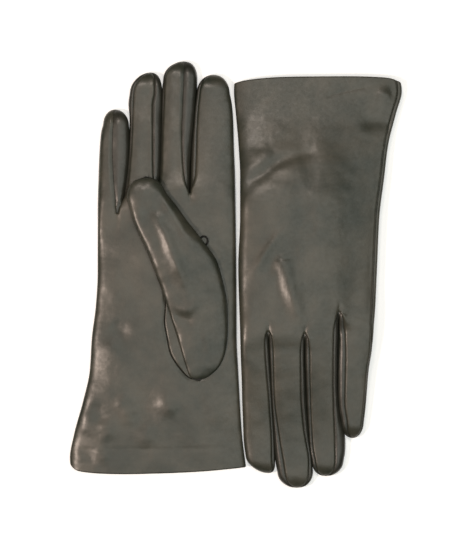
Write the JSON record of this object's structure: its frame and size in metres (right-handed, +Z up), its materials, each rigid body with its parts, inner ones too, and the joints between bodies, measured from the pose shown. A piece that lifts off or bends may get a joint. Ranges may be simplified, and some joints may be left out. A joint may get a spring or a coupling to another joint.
{
  "type": "pair of leather gloves",
  "caption": "Pair of plain leather gloves with flared cuffs lying flat, one palm up and one back up, each with separate fingers, side walls, set-in thumb and knitted lining.",
  "frame": {"origin": "centre of the pair's bounding box, on the surface it lies on", "axes": "+Z up out of the surface, +Y along the right glove towards its fingers, +X from the right glove to the left glove"},
  "size_m": [0.2152, 0.2762, 0.0191],
  "materials": {
    "leather": "smooth dyed nappa, soft satin",
    "fourchette_leather": "smooth dyed nappa, thinner skive",
    "lining": "fine knit",
    "thread": "waxed sewing thread"
  },
  "bodies": {
    "right_hand": {"right_trank_hand": "leather", "right_lining_hand": "lining", "right_side_seam_hand": "thread", "right_thumb_base": "leather", "right_thumb_base_lining": "lining", "right_thumb_seam": "thread", "right_pairing_loop": "thread"},
    "right_cuff": {"right_trank_cuff": "leather", "right_hem": "leather", "right_lining_cuff": "lining", "right_side_seam_cuff": "thread"},
    "right_index": {"right_index_wrap": "leather", "right_index_fourchette": "fourchette_leather", "right_index_lining": "lining"},
    "right_middle": {"right_middle_strips": "leather", "right_middle_fourchettes": "fourchette_leather", "right_middle_lining": "lining"},
    "right_ring": {"right_ring_strips": "leather", "right_ring_fourchettes": "fourchette_leather", "right_ring_lining": "lining"},
    "right_little": {"right_little_strips": "leather", "right_little_fourchette": "fourchette_leather", "right_little_lining": "lining"},
    "right_thumb": {"right_thumb": "leather", "right_thumb_lining": "lining"},
    "left_hand": {"left_trank_hand": "leather", "left_lining_hand": "lining", "left_side_seam_hand": "thread", "left_thumb_base": "leather", "left_thumb_base_lining": "lining", "left_thumb_seam": "thread"},
    "left_cuff": {"left_trank_cuff": "leather", "left_hem": "leather", "left_lining_cuff": "lining", "left_side_seam_cuff": "thread"},
    "left_index": {"left_index_wrap": "leather", "left_index_fourchette": "fourchette_leather", "left_index_lining": "lining"},
    "left_middle": {"left_middle_strips": "leather", "left_middle_fourchettes": "fourchette_leather", "left_middle_lining": "lining"},
    "left_ring": {"left_ring_strips": "leather", "left_ring_fourchettes": "fourchette_leather", "left_ring_lining": "lining"},
    "left_little": {"left_little_strips": "leather", "left_little_fourchette": "fourchette_leather", "left_little_lining": "lining"},
    "left_thumb": {"left_thumb": "leather", "left_thumb_lining": "lining"}
  },
  "joints": [
    {"name": "right_index_curl", "type": "hinge", "parent": "right_hand", "child": "right_index", "pos_m": [-0.0142, 0.0655, 0.0105], "axis": [1, 0, 0], "range_deg": [0, 90]},
    {"name": "right_middle_curl", "type": "hinge", "parent": "right_hand", "child": "right_middle", "pos_m": [-0.0391, 0.0655, 0.0105], "axis": [1, 0, 0], "range_deg": [0, 90]},
    {"name": "right_ring_curl", "type": "hinge", "parent": "right_hand", "child": "right_ring", "pos_m": [-0.0589, 0.0655, 0.0105], "axis": [1, 0, 0], "range_deg": [0, 90]},
    {"name": "right_little_curl", "type": "hinge", "parent": "right_hand", "child": "right_little", "pos_m": [-0.0804, 0.0655, 0.0105], "axis": [1, 0, 0], "range_deg": [0, 90]},
    {"name": "right_thumb_lift", "type": "hinge", "parent": "right_hand", "child": "right_thumb", "pos_m": [-0.0371, 0.0128, 0.019], "axis": [0.9763, 0.2164, 0], "range_deg": [0, 90]},
    {"name": "right_wrist_bend", "type": "hinge", "parent": "right_hand", "child": "right_cuff", "pos_m": [-0.048, -0.078, 0.0105], "axis": [-1, 0, 0], "range_deg": [0, 45]},
    {"name": "left_glove_lift", "type": "slide", "parent": "right_hand", "child": "left_hand", "axis": [0, 0, 1], "range_m": [0, 0.12]},
    {"name": "left_index_curl", "type": "hinge", "parent": "left_hand", "child": "left_index", "pos_m": [0.0116, -0.0555, 0.0082], "axis": [1, 0, 0], "range_deg": [0, 90]},
    {"name": "left_middle_curl", "type": "hinge", "parent": "left_hand", "child": "left_middle", "pos_m": [0.0326, -0.0555, 0.0082], "axis": [1, 0, 0], "range_deg": [0, 90]},
    {"name": "left_ring_curl", "type": "hinge", "parent": "left_hand", "child": "left_ring", "pos_m": [0.0552, -0.0555, 0.0082], "axis": [1, 0, 0], "range_deg": [0, 90]},
    {"name": "left_little_curl", "type": "hinge", "parent": "left_hand", "child": "left_little", "pos_m": [0.0766, -0.0555, 0.004], "axis": [1, 0, 0], "range_deg": [0, 90]},
    {"name": "left_thumb_lift", "type": "hinge", "parent": "left_hand", "child": "left_thumb", "pos_m": [0.0307, -0.0053, 0.0001], "axis": [0.9962, 0.0872, 0], "range_deg": [0, 90]},
    {"name": "left_wrist_bend", "type": "hinge", "parent": "left_hand", "child": "left_cuff", "pos_m": [0.05, 0.078, 0.0006], "axis": [-1, 0, 0], "range_deg": [0, 45]}
  ]
}
